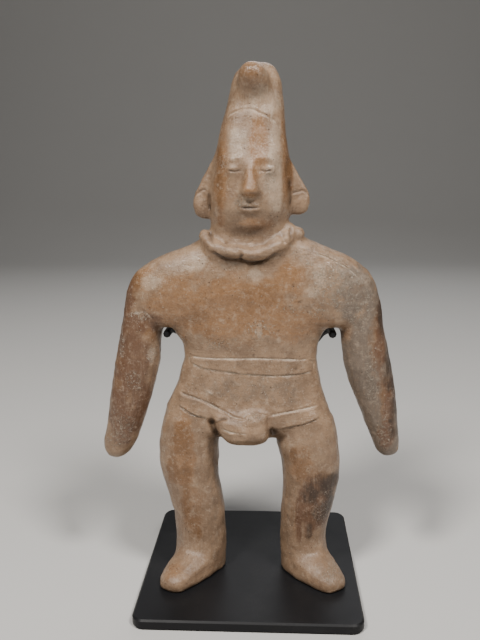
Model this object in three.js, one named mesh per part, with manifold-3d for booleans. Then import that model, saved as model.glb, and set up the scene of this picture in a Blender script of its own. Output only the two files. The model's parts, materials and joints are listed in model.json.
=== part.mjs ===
// Shaman figurine: a standing figure of hand-modelled, burnished fired clay, held
// upright on a square base plate by two bent rods that reach under its arms.
//
// Millimetres, +Z up. The origin is the middle of the plate's underside, and the
// figure faces -Y.

import * as THREE from 'three';
import { mergeVertices } from 'three/addons/utils/BufferGeometryUtils.js';
import Module from 'manifold-3d';

const wasm = await Module();
wasm.setup();

// Driving dimensions, in millimetres
const FIGURE_HEIGHT = 250;
const FIGURE_FORWARD = 5; // from the plate's middle to the figure's middle plane
const PLATE_WIDTH = 108;
const PLATE_DEPTH = 108;
const PLATE_THICKNESS = 5;
const PLATE_CORNER_RADIUS = 6;
const PLATE_EASED_EDGE = 0.8;
const ROD_DIAMETER = 3.9;
const ROD_CLEARANCE = 0.3; // between a rod and the clay in front of it
const ARMPIT_CLEARANCE = 1.6; // between a rod's tip and the clay above it
const SOCKET_DEPTH = 3.2;
const SOCKET_CLEARANCE = 0.1; // all round a rod's foot

// The figure is a free form. Its stations are hundredths of its height.
const SHARE = FIGURE_HEIGHT / 100;

const GROOVE_RADIUS = 0.24; // of the incised lines, as a share of the height
const COIL_RADIUS = 1.3; // of the clay roll round the neck, as a share of the height
const ARMPIT_HEIGHT = 51.5;
const HIP_HEIGHT = 33; // where the trunk reaches furthest back
const ANKLE_HEIGHT = 8;
const HEAD_SIDE = 0.55; // the head leans this far off the figure's middle
const HORN_ROOT = [1.2, -2.2, 95.2];
const HORN_TIP = [0.6, -5.6, 98.7];
const ROD_BEND = 7; // the size of a rod's bend towards its hook, as a share of the height

// A foot turns outward by its splay, in degrees, and its length is a share of the
// usual one
const LEFT_FOOT = { splay: 29, length: 0.98 };
const RIGHT_FOOT = { splay: 35, length: 0.93 };

// The seam of a round geometry closes exactly once rounding errors are gone
function withoutNoise(value) {
  return Math.abs(value) < 1e-9 ? 0 : value;
}

// A limb is a stack of cross-sections. Each station gives, in hundredths of the
// figure's height: the place along the limb, the section's middle across and
// through, its half width, and its depth in front of and behind that middle.
class Limb {
  constructor(stations, { sides, squareness = 2.2, frontSquareness = squareness }) {
    this.places = stations.map((station) => station[0]);
    this.sides = sides;
    this.squareness = squareness;
    this.frontSquareness = frontSquareness;
    const values = stations.flatMap((station) => station.slice(1));
    this.curve = new THREE.CubicInterpolant(this.places, values, 5);
  }

  sectionAt(place) {
    const [side, through, halfWidth, front, back] = this.curve.evaluate(place);
    return { side, through, halfWidth, front, back };
  }

  // The front face's place through the figure, at one spot of it
  frontAt(side, place) {
    const section = this.sectionAt(place);
    const across = Math.min(Math.abs(side - section.side) / section.halfWidth, 1);
    const n = this.frontSquareness;
    return section.through - section.front * (1 - across ** n) ** (1 / n);
  }

  // A unit cylinder whose rings are drawn out to the sections, along +Z
  geometry() {
    const last = this.places.length - 1;
    const geometry = new THREE.CylinderGeometry(1, 1, 1, this.sides, last);
    const position = geometry.getAttribute('position');
    for (let i = 0; i < position.count; i += 1) {
      const place = this.places[Math.round((position.getY(i) + 0.5) * last)];
      const section = this.sectionAt(place);
      const across = withoutNoise(position.getX(i));
      const through = withoutNoise(-position.getZ(i));
      const isFront = through < 0;
      const power = 2 / (isFront ? this.frontSquareness : this.squareness);
      const depth = isFront ? section.front : section.back;
      position.setXYZ(
        i,
        SHARE * (section.side + section.halfWidth * Math.sign(across) * Math.abs(across) ** power),
        SHARE * (section.through + depth * Math.sign(through) * Math.abs(through) ** power),
        SHARE * place,
      );
    }
    return geometry;
  }
}

const trunk = new Limb([
  [29.0, -0.3, 0.0, 3.0, 2.4, 2.6],
  [29.4, -0.3, 0.0, 6.0, 3.6, 3.8],
  [30.2, -0.4, 0.0, 10.5, 4.8, 5.1],
  [31.4, -0.4, 0.0, 14.6, 5.5, 5.9],
  [33.0, -0.46, 0.0, 16.6, 5.8, 6.2],
  [35.2, -0.46, 0.0, 16.2, 5.7, 6.0],
  [37.4, -0.34, 0.0, 15.2, 5.5, 5.6],
  [40.0, -0.22, 0.0, 14.2, 5.3, 5.1],
  [45.2, 0.2, 0.0, 13.0, 5.0, 4.6],
  [48.4, 0.14, 0.0, 13.4, 5.2, 4.6],
  [50.4, -0.14, 0.0, 14.6, 5.5, 4.8],
  [55.0, 0.3, 0.0, 16.2, 5.6, 5.0],
  [62.0, 0.5, 0.0, 14.0, 4.9, 4.6],
], { sides: 24, squareness: 2.5 });

const yoke = new Limb([
  [ARMPIT_HEIGHT, 0.4, 0.0, 25.5, 3.0, 2.8],
  [52.4, 0.5, 0.0, 25.4, 4.4, 4.0],
  [54.2, 0.56, 0.0, 25.1, 5.3, 4.8],
  [56.4, 0.5, 0.0, 24.75, 5.7, 5.2],
  [58.4, 0.45, 0.0, 24.2, 5.8, 5.2],
  [60.3, 0.5, 0.0, 23.4, 5.7, 5.1],
  [62.2, 0.56, 0.0, 22.2, 5.5, 5.0],
  [63.2, 0.6, 0.0, 21.0, 5.4, 4.9],
  [64.2, 0.6, 0.0, 19.5, 5.2, 4.8],
  [65.2, 0.8, 0.0, 17.5, 5.0, 4.7],
  [66.1, 1.0, 0.0, 15.2, 4.9, 4.6],
  [67.0, 1.2, 0.0, 12.8, 4.8, 4.5],
  [68.0, 1.0, 0.0, 10.6, 4.6, 4.4],
  [69.5, 0.6, 0.0, 8.4, 4.6, 4.4],
], { sides: 26, squareness: 2.4 });

const head = new Limb([
  [66.0, 0.5, 0.0, 7.4, 4.8, 4.8],
  [69.0, 0.3, 0.0, 7.0, 4.8, 4.8],
  [71.0, 0.1, 0.0, 7.1, 5.4, 5.0],
  [72.6, 0.3, -0.2, 7.3, 6.2, 5.2],
  [74.0, 0.45, -0.3, 7.4, 6.7, 5.4],
  [75.8, 0.5, -0.3, 7.4, 6.9, 5.7],
  [80.0, 0.54, -0.3, 7.06, 6.5, 6.0],
  [83.6, 0.74, -0.3, 6.76, 6.3, 5.9],
  [87.2, 0.78, 0.0, 6.16, 5.6, 5.4],
  [90.8, 1.16, 0.2, 5.58, 5.0, 4.9],
  [94.3, 1.44, 0.4, 4.9, 4.3, 4.3],
  [96.6, 1.53, 0.5, 4.55, 3.8, 3.9],
  [98.2, 1.6, 0.6, 3.85, 3.2, 3.3],
  [99.3, 1.9, 0.6, 2.9, 2.4, 2.5],
  [99.85, 2.1, 0.6, 1.6, 1.4, 1.4],
  [100.0, 2.2, 0.6, 0.6, 0.6, 0.6],
], { sides: 24, squareness: 2.3, frontSquareness: 2.6 });

const leftArm = new Limb([
  [23.9, -27.3, 0.0, 0.5, 0.5, 0.5],
  [24.3, -27.25, 0.0, 1.7, 1.4, 1.4],
  [25.2, -27.0, 0.0, 2.5, 2.0, 2.0],
  [26.4, -26.75, 0.0, 3.0, 2.4, 2.4],
  [28.0, -26.2, 0.0, 3.4, 2.8, 2.7],
  [32.0, -25.1, 0.0, 3.7, 3.2, 3.0],
  [36.0, -24.06, 0.0, 4.12, 3.5, 3.3],
  [40.0, -23.08, 0.0, 4.34, 3.7, 3.5],
  [44.0, -22.16, 0.0, 4.46, 3.8, 3.6],
  [48.0, -21.6, 0.0, 4.2, 3.8, 3.6],
  [50.4, -21.2, 0.0, 4.15, 3.8, 3.6],
  [54.0, -20.6, 0.0, 3.9, 3.5, 3.3],
  [57.0, -19.8, 0.0, 3.3, 3.0, 2.9],
], { sides: 14 });

const rightArm = new Limb([
  [24.9, 27.75, 0.0, 0.5, 0.5, 0.5],
  [25.3, 27.7, 0.0, 1.5, 1.3, 1.3],
  [26.2, 27.6, 0.0, 2.2, 1.9, 1.9],
  [28.0, 27.18, 0.0, 2.65, 2.4, 2.3],
  [32.0, 26.08, 0.0, 3.34, 2.9, 2.8],
  [36.0, 25.0, 0.0, 3.9, 3.3, 3.2],
  [40.0, 23.96, 0.0, 4.38, 3.6, 3.4],
  [44.0, 23.0, 0.0, 4.64, 3.8, 3.6],
  [48.0, 22.3, 0.0, 4.45, 3.8, 3.6],
  [50.4, 21.9, 0.0, 4.3, 3.8, 3.6],
  [54.0, 21.2, 0.0, 3.9, 3.5, 3.3],
  [57.0, 20.4, 0.0, 3.3, 3.0, 2.9],
], { sides: 14 });

const leftLeg = new Limb([
  [0.0, -10.4, 0.3, 5.1, 4.5, 4.5],
  [4.4, -10.3, 0.2, 5.3, 4.6, 4.6],
  [8.0, -10.24, 0.0, 5.14, 4.4, 4.4],
  [12.4, -10.46, 0.0, 5.2, 4.6, 4.6],
  [16.0, -11.12, 0.0, 5.5, 4.9, 4.9],
  [20.0, -12.06, 0.0, 5.68, 5.2, 5.2],
  [24.0, -12.4, 0.0, 6.06, 5.5, 5.6],
  [28.0, -12.36, 0.0, 5.95, 5.7, 6.0],
  [31.0, -12.1, 0.0, 5.6, 5.6, 6.0],
  [33.0, -11.9, 0.0, 5.3, 5.4, 5.8],
  [35.2, -11.0, 0.0, 4.4, 4.8, 5.2],
], { sides: 18, squareness: 2.3 });

const rightLeg = new Limb([
  [0.0, 11.1, 0.3, 4.7, 4.4, 4.4],
  [4.4, 11.0, 0.2, 4.86, 4.5, 4.5],
  [8.0, 10.88, 0.0, 4.74, 4.3, 4.3],
  [12.4, 11.32, 0.0, 5.02, 4.6, 4.6],
  [16.0, 11.8, 0.0, 5.3, 4.9, 4.9],
  [20.0, 12.36, 0.0, 5.66, 5.2, 5.2],
  [24.0, 12.3, 0.0, 5.95, 5.5, 5.6],
  [28.0, 11.5, 0.0, 6.2, 5.7, 6.0],
  [31.0, 11.7, 0.0, 5.6, 5.6, 6.0],
  [33.0, 11.4, 0.0, 5.3, 5.4, 5.8],
  [35.2, 10.6, 0.0, 4.4, 4.8, 5.2],
], { sides: 18, squareness: 2.3 });

// A foot runs along +Z from the heel to the toe, with its sole in front (-Y) and its
// inner side towards +X
const foot = new Limb([
  [-3.6, 0.0, 1.0, 2.4, 0.98, 2.0],
  [-2.4, 0.0, 1.0, 4.2, 1.0, 4.0],
  [0.0, 0.0, 1.0, 4.9, 1.0, 5.4],
  [3.5, 0.2, 1.0, 4.7, 1.0, 4.8],
  [6.5, 0.2, 1.0, 4.1, 1.0, 3.6],
  [9.0, 0.2, 1.0, 3.5, 1.0, 2.7],
  [11.0, 0.2, 1.0, 2.85, 1.0, 2.1],
  [12.0, 0.2, 1.0, 1.9, 0.95, 1.4],
  [12.4, 0.2, 1.0, 0.7, 0.5, 0.6],
], { sides: 12, frontSquareness: 6 });

const pouch = new Limb([
  [29.0, -0.1, -4.9, 2.4, 1.0, 2.5],
  [29.4, -0.3, -4.9, 3.8, 2.2, 3.0],
  [30.6, -0.65, -5.0, 4.7, 3.0, 3.0],
  [32.2, -1.1, -5.0, 5.3, 3.2, 3.0],
  [33.6, -1.5, -5.0, 5.5, 2.8, 3.0],
  [34.8, -1.0, -5.0, 4.6, 1.9, 3.0],
  [35.8, 0.2, -5.0, 2.8, 0.8, 3.0],
], { sides: 14, squareness: 2.6 });

const nose = new Limb([
  [76.2, HEAD_SIDE, -6.6, 0.9, 1.0, 1.2],
  [76.5, HEAD_SIDE, -6.6, 1.8, 2.2, 1.2],
  [77.2, HEAD_SIDE, -6.6, 2.0, 2.8, 1.2],
  [78.4, HEAD_SIDE, -6.5, 1.6, 2.5, 1.2],
  [80.0, HEAD_SIDE, -6.4, 1.15, 1.9, 1.2],
  [82.0, HEAD_SIDE, -6.2, 0.95, 1.3, 1.2],
  [83.4, HEAD_SIDE, -6.0, 0.8, 0.7, 1.2],
], { sides: 10 });

// A stub horn on the crown: it runs along +Z from its root to its rounded tip
const horn = new Limb([
  [-2.0, 0.0, 0.0, 3.0, 2.8, 2.8],
  [0.0, 0.0, 0.0, 3.0, 2.8, 2.8],
  [2.4, 0.0, 0.0, 2.75, 2.5, 2.5],
  [4.2, 0.0, 0.0, 2.1, 1.9, 1.9],
  [5.2, 0.0, 0.0, 0.9, 0.8, 0.8],
], { sides: 12 });

// A rounded mound of clay, given by its middle and its reach across, through and up
class Mound {
  constructor([side, through, place], [halfWidth, depth, halfHeight]) {
    this.middle = { side, through, place };
    this.reach = { halfWidth, depth, halfHeight };
  }

  frontAt(side, place) {
    const across = (side - this.middle.side) / this.reach.halfWidth;
    const up = (place - this.middle.place) / this.reach.halfHeight;
    const bulge = Math.sqrt(Math.max(1 - across ** 2 - up ** 2, 0));
    return this.middle.through - this.reach.depth * bulge;
  }

  geometry() {
    const { side, through, place } = this.middle;
    const { halfWidth, depth, halfHeight } = this.reach;
    const geometry = new THREE.SphereGeometry(SHARE, 8, 6);
    geometry.scale(halfWidth, depth, halfHeight);
    geometry.translate(SHARE * side, SHARE * through, SHARE * place);
    return geometry;
  }
}

// The face is a plain one, on the usual thirds from cap to brow, nose and chin
const EYE_HEIGHT = 80.9;
const EYE_SPREAD = 2.8;
const MOUTH_HEIGHT = 74.4;
const BROW_HEIGHT = 82.9;

function mirroredPair(make) {
  return [-1, 1].map((direction) => make(direction));
}

const eyelids = mirroredPair((direction) => {
  const side = HEAD_SIDE + direction * EYE_SPREAD;
  return new Mound([side, head.frontAt(side, EYE_HEIGHT) + 0.2, EYE_HEIGHT], [1.7, 0.75, 1.0]);
});

const lips = new Mound(
  [HEAD_SIDE, head.frontAt(HEAD_SIDE, MOUTH_HEIGHT) + 0.15, MOUTH_HEIGHT],
  [2.3, 0.65, 1.1],
);

const chin = new Mound([HEAD_SIDE, -4.8, 71.8], [3.2, 1.7, 1.9]);

// From a surface to a solid, and back
function solid(geometry) {
  geometry.deleteAttribute('normal');
  geometry.deleteAttribute('uv');
  const merged = mergeVertices(geometry, 1e-4);
  return new wasm.Manifold(new wasm.Mesh({
    numProp: 3,
    vertProperties: new Float32Array(merged.getAttribute('position').array),
    triVerts: new Uint32Array(merged.index.array),
  }));
}

function geometryOf(manifold) {
  const mesh = manifold.getMesh();
  const geometry = new THREE.BufferGeometry();
  geometry.setAttribute('position', new THREE.BufferAttribute(mesh.vertProperties, 3));
  geometry.setIndex(new THREE.BufferAttribute(mesh.triVerts, 1));
  geometry.computeVertexNormals();
  return geometry;
}

function join(solids) {
  return solids.reduce((whole, piece) => whole.add(piece));
}

// A round bar of one radius along a curve, all in millimetres
function bar(curve, radius, sides, steps) {
  const circle = new THREE.Shape(
    new THREE.EllipseCurve(0, 0, radius, radius, 0, 2 * Math.PI).getPoints(sides).slice(0, -1),
  );
  const geometry = new THREE.ExtrudeGeometry(circle, { extrudePath: curve, steps });
  return solid(geometry);
}

function curveThrough(points) {
  return new THREE.CatmullRomCurve3(
    points.map(([x, y, z]) => new THREE.Vector3(x, y, z).multiplyScalar(SHARE)),
  );
}

// A foot turns outward from its ankle: the left one is made here, and the right one
// is its mirror image
function footSolid(leg, { splay, length }) {
  const turn = THREE.MathUtils.degToRad(splay);
  const toe = new THREE.Vector3(-Math.sin(turn), -Math.cos(turn), 0);
  const up = new THREE.Vector3(0, 0, 1);
  const across = new THREE.Vector3().crossVectors(up, toe);
  const geometry = foot.geometry();
  geometry.scale(1, 1, length);
  geometry.applyMatrix4(new THREE.Matrix4().makeBasis(across, up, toe));
  const side = leg.sectionAt(0).side;
  const leftFoot = solid(geometry);
  const turned = side > 0 ? leftFoot.mirror([1, 0, 0]) : leftFoot;
  return turned.translate([SHARE * side, 0, 0]);
}

// The horn points forward and a little up
function hornSolid() {
  const root = new THREE.Vector3(...HORN_ROOT).multiplyScalar(SHARE);
  const tip = new THREE.Vector3(...HORN_TIP).multiplyScalar(SHARE);
  const along = tip.clone().sub(root).normalize();
  const through = new THREE.Vector3().crossVectors(along, new THREE.Vector3(1, 0, 0)).normalize();
  const across = new THREE.Vector3().crossVectors(through, along);
  const geometry = horn.geometry();
  geometry.applyMatrix4(new THREE.Matrix4().makeBasis(across, through, along));
  geometry.translate(root.x, root.y, root.z);
  return solid(geometry);
}

// An ear is a flat flap with a rounded pad folded over at its foot. The right one,
// made here, can be mirrored to the left.
function earSolid(lift, reach) {
  const outline = new THREE.Shape();
  outline.moveTo(5.2, 86.6);
  outline.quadraticCurveTo(8.0, 81.4, reach - 0.9, 76.9 + lift);
  outline.quadraticCurveTo(reach + 0.2, 75.0 + lift, reach - 0.9, 73.0 + lift);
  outline.quadraticCurveTo(9.0, 71.6 + lift, 7.6, 72.4 + lift);
  outline.lineTo(6.0, 75.0);
  outline.lineTo(4.6, 80.0);
  const thickness = 1.6;
  const flap = new THREE.ExtrudeGeometry(outline, {
    depth: thickness,
    curveSegments: 4,
    bevelSize: 0.35,
    bevelThickness: 0.35,
    bevelOffset: -0.35,
    bevelSegments: 1,
  });
  flap.rotateX(Math.PI / 2);
  flap.translate(HEAD_SIDE, 0.4, 0);
  flap.scale(SHARE, SHARE, SHARE);
  const pad = new Mound([reach - 1.95 + HEAD_SIDE, -0.8, 74.4 + lift], [1.7, 1.1, 2.3]);
  return solid(flap).add(solid(pad.geometry()));
}

function mirroredOverHead(manifold) {
  const middle = SHARE * HEAD_SIDE;
  return manifold.translate([-middle, 0, 0]).mirror([1, 0, 0]).translate([middle, 0, 0]);
}

// The necklace is a clay roll laid round the front of the neck
function necklaceSolids() {
  const roll = [
    [-8.0, -2.4, 69.0],
    [-7.5, -3.5, 68.1],
    [-6.3, -4.6, 67.2],
    [-4.2, -5.3, 66.5],
    [-1.4, -5.7, 66.2],
    [1.4, -5.7, 66.0],
    [4.1, -5.4, 66.7],
    [6.4, -4.6, 67.9],
    [7.5, -3.4, 69.2],
    [7.4, -2.4, 70.4],
  ];
  return [
    bar(curveThrough(roll), SHARE * COIL_RADIUS, 8, 17),
    ...[
      new Mound(roll[0], [1.35, 1.35, 1.35]),
      new Mound(roll.at(-1), [1.2, 1.3, 1.3]),
      new Mound([9.1, -2.2, 69.3], [1.4, 1.4, 1.4]),
    ].map((mound) => solid(mound.geometry())),
  ];
}

// A line on the front of a limb or mound, given by its places across and up
function lineOn(form, places, radius, sides = 5) {
  const points = places.map(([side, place]) => [side, form.frontAt(side, place), place]);
  const stepsForEach = 2;
  return bar(curveThrough(points), SHARE * radius, sides, stepsForEach * (places.length - 1));
}

function groove(form, places) {
  return lineOn(form, places, GROOVE_RADIUS);
}

// A short line that bends down or up at its ends
function arcPlaces(side, place, halfLength, rise) {
  return [-1, -0.5, 0, 0.5, 1].map((s) => [side + s * halfLength, place + rise * (1 - s * s)]);
}

// The brows are thin ridges that spring from the nose
function browSolids() {
  return mirroredPair((direction) => {
    const places = [[0.9, -0.5], [2.4, 0.1], [4.5, -0.6]].map(
      ([away, rise]) => [HEAD_SIDE + direction * away, BROW_HEIGHT + rise],
    );
    return lineOn(head, places, 0.45);
  });
}

function incisedLines() {
  return [
    groove(trunk, [[-11.1, 45.9], [-7.8, 45.9], [-4.5, 45.9], [0.7, 46.0], [6.0, 45.8], [11.3, 45.4]]),
    groove(trunk, [[-11.2, 44.6], [-8.9, 43.8], [-4.5, 43.3], [0.7, 42.8], [7.0, 42.5], [12.2, 42.9]]),
    groove(trunk, [[-13.5, 38.7], [-8.9, 37.6], [-4.6, 35.7], [-2.6, 34.9]]),
    groove(trunk, [[4.1, 34.9], [6.4, 35.35], [8.8, 35.7], [13.4, 36.3]]),
    groove(trunk, [[-13.5, 36.1], [-12.0, 35.3], [-10.5, 34.6], [-7.8, 34.0]]),
    groove(trunk, [[5.6, 32.0], [9.9, 32.9], [13.4, 34.1]]),
    groove(pouch, [[-5.4, 32.9], [-4.2, 32.5], [-3.1, 32.2], [-0.1, 32.0]]),
    groove(head, [[-4.1, 89.7], [-3.1, 90.6], [-1.2, 91.4], [0.7, 91.5], [2.1, 90.9], [4.0, 90.0]]),
    ...eyelids.map((lid) => groove(lid, arcPlaces(lid.middle.side, EYE_HEIGHT, 1.4, -0.2))),
    groove(lips, arcPlaces(HEAD_SIDE, MOUTH_HEIGHT, 2.0, -0.15)),
  ];
}

function figureSolid() {
  const body = [
    ...[trunk, yoke, head, leftArm, rightArm, leftLeg, rightLeg, pouch],
    ...[nose, ...eyelids, lips, chin],
  ];
  const clay = join([
    ...body.map((form) => solid(form.geometry())),
    ...browSolids(),
    footSolid(leftLeg, LEFT_FOOT),
    footSolid(rightLeg, RIGHT_FOOT),
    hornSolid(),
    mirroredOverHead(earSolid(0, 11.3)),
    earSolid(0.6, 11.2),
    ...necklaceSolids(),
  ]);
  return clay.subtract(join(incisedLines()));
}

// A rod stands behind one leg, rises behind the trunk and hooks forward under an arm
function rodRoute(leg, arm) {
  const radius = ROD_DIAMETER / 2;
  const ankle = leg.sectionAt(ANKLE_HEIGHT);
  const hips = trunk.sectionAt(HIP_HEIGHT);
  const armpit = trunk.sectionAt(ARMPIT_HEIGHT - 1);
  const upperArm = arm.sectionAt(ARMPIT_HEIGHT - 1);
  const direction = Math.sign(upperArm.side);
  const trunkEdge = armpit.side + direction * armpit.halfWidth;
  const armEdge = upperArm.side - direction * upperArm.halfWidth;

  const back = SHARE * (hips.through + hips.back) + radius + ROD_CLEARANCE - FIGURE_FORWARD;
  const tipHeight = PLATE_THICKNESS + SHARE * ARMPIT_HEIGHT - radius - ARMPIT_CLEARANCE;
  const tipSide = (SHARE * (trunkEdge + armEdge)) / 2;
  const bend = SHARE * ROD_BEND;

  const start = new THREE.Vector3(SHARE * ankle.side, back, PLATE_THICKNESS - SOCKET_DEPTH);
  const bendStart = new THREE.Vector3(start.x, back, tipHeight - 1.6 * bend);
  const bendEnd = new THREE.Vector3(tipSide, back - 0.8 * bend, tipHeight);
  const tip = new THREE.Vector3(tipSide, -FIGURE_FORWARD - SHARE * upperArm.front * 0.5, tipHeight);
  const route = new THREE.CurvePath();
  route.add(new THREE.LineCurve3(start, bendStart));
  route.add(new THREE.CubicBezierCurve3(
    bendStart,
    bendStart.clone().add(new THREE.Vector3(0, 0, bend)),
    bendEnd.clone().add(new THREE.Vector3(0, bend, 0)),
    bendEnd,
  ));
  route.add(new THREE.LineCurve3(bendEnd, tip));
  return route;
}

function rodSolid(route) {
  const radius = ROD_DIAMETER / 2;
  const tip = route.getPoint(1);
  const cap = new THREE.SphereGeometry(radius, 8, 6);
  cap.translate(tip.x, tip.y, tip.z);
  return bar(route, radius, 8, 20).add(solid(cap));
}

function roundedRectangle(width, depth, radius) {
  const x = width / 2;
  const y = depth / 2;
  const outline = new THREE.Shape();
  outline.moveTo(-x + radius, -y);
  outline.lineTo(x - radius, -y);
  outline.absarc(x - radius, -y + radius, radius, -Math.PI / 2, 0);
  outline.lineTo(x, y - radius);
  outline.absarc(x - radius, y - radius, radius, 0, Math.PI / 2);
  outline.lineTo(-x + radius, y);
  outline.absarc(-x + radius, y - radius, radius, Math.PI / 2, Math.PI);
  outline.lineTo(-x, -y + radius);
  outline.absarc(-x + radius, -y + radius, radius, Math.PI, 1.5 * Math.PI);
  return outline;
}

function plateSolid(routes) {
  const outline = roundedRectangle(PLATE_WIDTH, PLATE_DEPTH, PLATE_CORNER_RADIUS);
  const slab = new THREE.ExtrudeGeometry(outline, {
    depth: PLATE_THICKNESS - 2 * PLATE_EASED_EDGE,
    curveSegments: 4,
    bevelSize: PLATE_EASED_EDGE,
    bevelThickness: PLATE_EASED_EDGE,
    bevelOffset: -PLATE_EASED_EDGE,
    bevelSegments: 1,
  });
  slab.translate(0, 0, PLATE_EASED_EDGE);
  const sockets = routes.map((route) => {
    const foot = route.getPoint(0);
    const socketRadius = ROD_DIAMETER / 2 + SOCKET_CLEARANCE;
    const hole = new THREE.CylinderGeometry(socketRadius, socketRadius, 2 * SOCKET_DEPTH, 16);
    hole.rotateX(Math.PI / 2);
    hole.translate(foot.x, foot.y, PLATE_THICKNESS);
    return solid(hole);
  });
  return solid(slab).subtract(join(sockets));
}

function piece(name, manifold, material) {
  const mesh = new THREE.Mesh(geometryOf(manifold), material);
  mesh.name = name;
  return mesh;
}

const firedClay = new THREE.MeshStandardMaterial({ color: 0xa98663, roughness: 0.62, metalness: 0 });
const blackPaint = new THREE.MeshStandardMaterial({ color: 0x0c0c0e, roughness: 0.42, metalness: 0.1 });

const leftRoute = rodRoute(leftLeg, leftArm);
const rightRoute = rodRoute(rightLeg, rightArm);

const figurine = piece('figurine', figureSolid(), firedClay);
figurine.position.set(0, -FIGURE_FORWARD, PLATE_THICKNESS);

const shaman = new THREE.Group();
shaman.add(
  figurine,
  piece('base_plate', plateSolid([leftRoute, rightRoute]), blackPaint),
  piece('left_rod', rodSolid(leftRoute), blackPaint),
  piece('right_rod', rodSolid(rightRoute), blackPaint),
);

export default shaman;
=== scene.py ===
"""Dresses the shaman figurine: burnished clay, painted stand, pale floor, light and camera.

The figure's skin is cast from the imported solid, softened where the clay was smeared
together, and then incised, worn and stained. Places on the figure are given in
hundredths of its height: x to the viewer's right, y through the figure from its middle
plane, z up from its soles.
"""

from __future__ import annotations

import json
import logging
import math
from dataclasses import dataclass, field
from enum import Enum

import bmesh
import bpy
import numpy as np
from mathutils import Matrix, Vector, noise

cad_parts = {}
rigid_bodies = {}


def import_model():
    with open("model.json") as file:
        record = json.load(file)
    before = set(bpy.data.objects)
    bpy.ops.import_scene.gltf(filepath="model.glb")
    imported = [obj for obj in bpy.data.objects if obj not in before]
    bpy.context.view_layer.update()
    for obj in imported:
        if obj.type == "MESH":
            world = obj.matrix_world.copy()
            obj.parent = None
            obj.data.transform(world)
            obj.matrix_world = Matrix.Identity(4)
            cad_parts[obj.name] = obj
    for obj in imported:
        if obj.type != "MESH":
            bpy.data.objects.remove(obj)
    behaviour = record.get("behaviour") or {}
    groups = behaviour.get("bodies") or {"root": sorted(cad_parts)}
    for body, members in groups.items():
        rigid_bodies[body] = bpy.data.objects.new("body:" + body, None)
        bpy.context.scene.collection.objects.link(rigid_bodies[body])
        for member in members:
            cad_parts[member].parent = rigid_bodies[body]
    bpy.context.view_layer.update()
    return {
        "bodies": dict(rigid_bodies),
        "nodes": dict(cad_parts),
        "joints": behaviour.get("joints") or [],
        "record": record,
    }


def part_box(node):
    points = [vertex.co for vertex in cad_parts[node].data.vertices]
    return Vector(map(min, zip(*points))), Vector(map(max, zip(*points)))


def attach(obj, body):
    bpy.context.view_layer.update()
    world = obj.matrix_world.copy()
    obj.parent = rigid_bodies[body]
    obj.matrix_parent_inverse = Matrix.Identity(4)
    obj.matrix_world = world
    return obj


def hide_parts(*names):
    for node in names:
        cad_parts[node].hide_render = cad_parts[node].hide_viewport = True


LOG = logging.getLogger("shaman_figurine")
MILLIMETRE = 0.001

Point = tuple[float, float]
Place = tuple[float, float, float]
Colour = Place
Socket = bpy.types.NodeSocket
Values = np.ndarray


class Mask(Enum):
    """The layers of colour, wear, painted shade and painted highlight that the clay's skin carries as
    point attributes.
    """

    BURNISHED = "burnished"
    UMBER = "umber"
    PALE_AND_HIGHLIGHT = "pale"
    REDDENED = "reddened"
    ASHEN = "ashen"
    SOOT = "soot"
    DEPOSIT = "deposit"
    LIMBS = "limbs"
    INCISED = "incised"
    PITS_AND_SHADE = "pits_and_shade"
    DULL_AND_SHADE = "dull_and_shade"


@dataclass(frozen=True)
class Line:
    """A line that follows the figure's front.

    Attributes:
        places: points across and up the figure that the line runs through.
        half_width: half of the line's width.
        depth: how deep it is pressed or cut.
        bared: how much pale, freshly scratched clay shows in it, from 0 to 1.
        lip: height of the clay pushed up along its sides.
        straight_in: whether it sinks straight in from the front, as a slit does.
    """

    places: tuple[Point, ...]
    half_width: float = 0.20
    depth: float = 0.34
    bared: float = 0.45
    lip: float = 0.10
    straight_in: bool = False

    @property
    def dark(self) -> bool:
        """Whether no pale clay shows in it."""
        return self.bared == 0.0


@dataclass(frozen=True)
class Band:
    """A strip of the front that stands a little proud, between two lines.

    Attributes:
        upper: places along its upper edge, from left to right.
        lower: places along its lower edge, from left to right.
        height: how far it stands out.
        fade: how softly its two ends run out.
        edge: how softly its long edges rise.
    """

    upper: tuple[Point, ...]
    lower: tuple[Point, ...]
    height: float
    fade: float = 0.6
    edge: float = 0.18


def slit(*places: Point, half_width: float, depth: float) -> Line:
    """Returns a dark slit that sinks straight in from the front."""
    return Line(places, half_width, depth, bared=0.0, lip=0.0, straight_in=True)


def seam(*places: Point, half_width: float, depth: float, bared: float = 0.0) -> Line:
    """Returns a shaded seam beside a piece of clay that was laid on."""
    return Line(places, half_width, depth, bared, lip=0.0)


@dataclass(frozen=True)
class Spot:
    """A soft-edged area of the figure.

    Attributes:
        middle: its middle.
        reach: how far it spreads along x, y and z.
        strength: its weight in the middle, from 0 to 1.
    """

    middle: Place
    reach: Place
    strength: float = 1.0


def front(x: float, z: float, wide: float, high: float, strength: float = 1.0) -> Spot:
    """Returns an area of the figure's front, around a place across and up it."""
    return Spot((x, -5, z), (wide, 5, high), strength)


@dataclass(frozen=True)
class ClayFinish:
    """Colours and gloss of the burnished clay, with those of its painted shade and highlights, as linear
    light.
    """

    buff: Colour = (0.300, 0.195, 0.120)
    # Dull clay, and the colour of the painted shade on the legs and under the chin.
    dull_and_shade: Colour = (0.205, 0.130, 0.080)
    burnished: Colour = (0.265, 0.142, 0.068)
    umber: Colour = (0.170, 0.085, 0.036)
    # Pale clay, and the colour of the painted highlights on the shoulders and the forehead.
    pale: Colour = (0.470, 0.365, 0.270)
    reddened: Colour = (0.120, 0.060, 0.033)
    ashen: Colour = (0.135, 0.108, 0.085)
    soot: Colour = (0.036, 0.022, 0.014)
    # Dark grain and pits of the clay, and the colour of the painted shade.
    pits_and_shade: Colour = (0.055, 0.034, 0.021)
    fleck: Colour = (0.620, 0.520, 0.410)
    polish_roughness: float = 0.22
    dry_roughness: float = 0.68


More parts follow.
